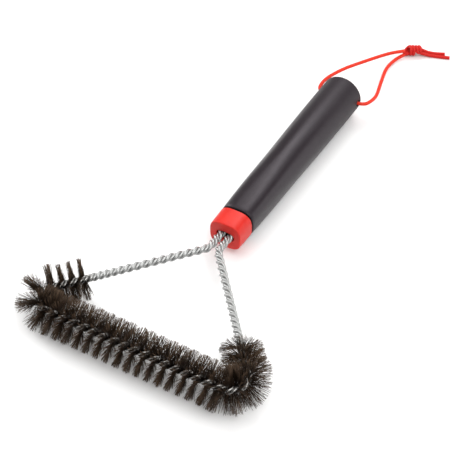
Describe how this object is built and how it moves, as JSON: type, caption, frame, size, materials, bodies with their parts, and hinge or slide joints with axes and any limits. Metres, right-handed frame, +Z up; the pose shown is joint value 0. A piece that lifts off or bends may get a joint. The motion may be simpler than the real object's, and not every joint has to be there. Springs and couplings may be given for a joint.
{
  "type": "grill brush",
  "caption": "Triangular twisted-wire grill brush with wire bristles, a red collar, a black moulded handle and a red hanging cord.",
  "frame": {"origin": "centre of the surface that the brush lies on, under the middle of the box round the brush without its cord", "axes": "+Y runs from the head to the tail of the handle, +X along the front bar of the head, +Z up from the surface"},
  "size_m": [0.1808, 0.403, 0.0304],
  "materials": {
    "grip": "fine moulded satin black",
    "collar": "smooth satin red moulding",
    "seam": "matt black",
    "core": "plain black moulding",
    "ferrule": "plain crimped steel",
    "stem_wire": "dull galvanised wire",
    "bristles": "dark oil-tempered steel wire",
    "cord": "braided red cord"
  },
  "bodies": {
    "handle": {"handle_grip": "grip", "collar": "collar", "seam_ring": "seam", "core_upper": "core", "core_lower": "core", "wire_ferrule": "ferrule", "stem_wire_1": "stem_wire", "stem_wire_2": "stem_wire", "stem_wire_3": "stem_wire", "stem_wire_4": "stem_wire", "bristles_front_1": "bristles", "bristles_front_2": "bristles", "bristles_front_3": "bristles", "bristles_corner_left": "bristles", "bristles_corner_right": "bristles", "bristles_arm_left": "bristles", "bristles_arm_right": "bristles"},
    "hanging_loop": {"hang_cord": "cord", "cord_knot": "cord", "cord_tail_1": "cord", "cord_tail_2": "cord"}
  },
  "joints": [
    {"name": "loop_swing", "type": "hinge", "parent": "handle", "child": "hanging_loop", "pos_m": [0, 0.147, 0.0152], "axis": [1, 0, 0], "range_deg": [0, 100]}
  ]
}
